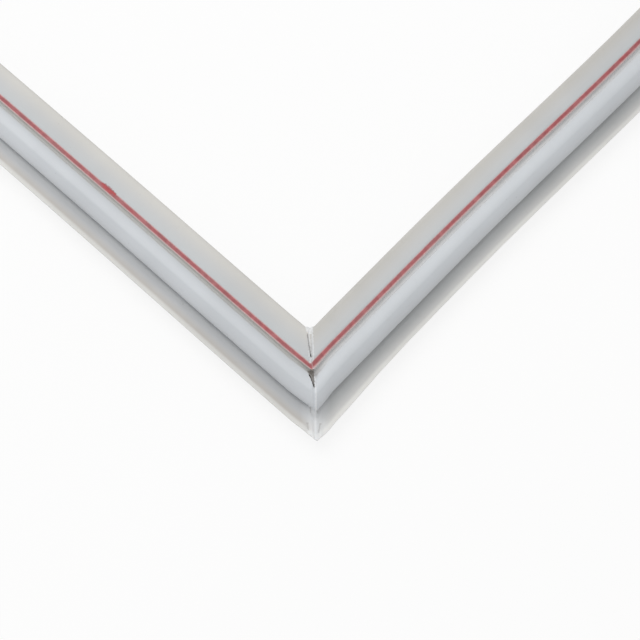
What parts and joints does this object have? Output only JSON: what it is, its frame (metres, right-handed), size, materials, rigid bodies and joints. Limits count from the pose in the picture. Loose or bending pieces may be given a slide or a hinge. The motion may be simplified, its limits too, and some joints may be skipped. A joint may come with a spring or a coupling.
{
  "type": "refrigerator door gasket",
  "caption": "Closed rectangular magnetic door seal of hollow soft profile, with a flat magnet pocket, an air bulb, an outer skirt and a push-in dart, welded at mitred corners.",
  "frame": {"origin": "middle of the ring, at the tip of the dart that it stands on", "axes": "+Z from the dart towards the magnet face; +Y along the longer sides; +X along the shorter sides"},
  "size_m": [0.4778, 0.5378, 0.0204],
  "materials": {
    "soft_pvc": "satin, light grey",
    "red_pvc": "satin, red",
    "flexible_magnet": "matt, dark brown"
  },
  "bodies": {
    "root": {"gasket_body": "soft_pvc", "marker_line": "red_pvc", "magnet_strip_top": "flexible_magnet", "magnet_strip_bottom": "flexible_magnet", "magnet_strip_left": "flexible_magnet", "magnet_strip_right": "flexible_magnet"}
  },
  "joints": []
}
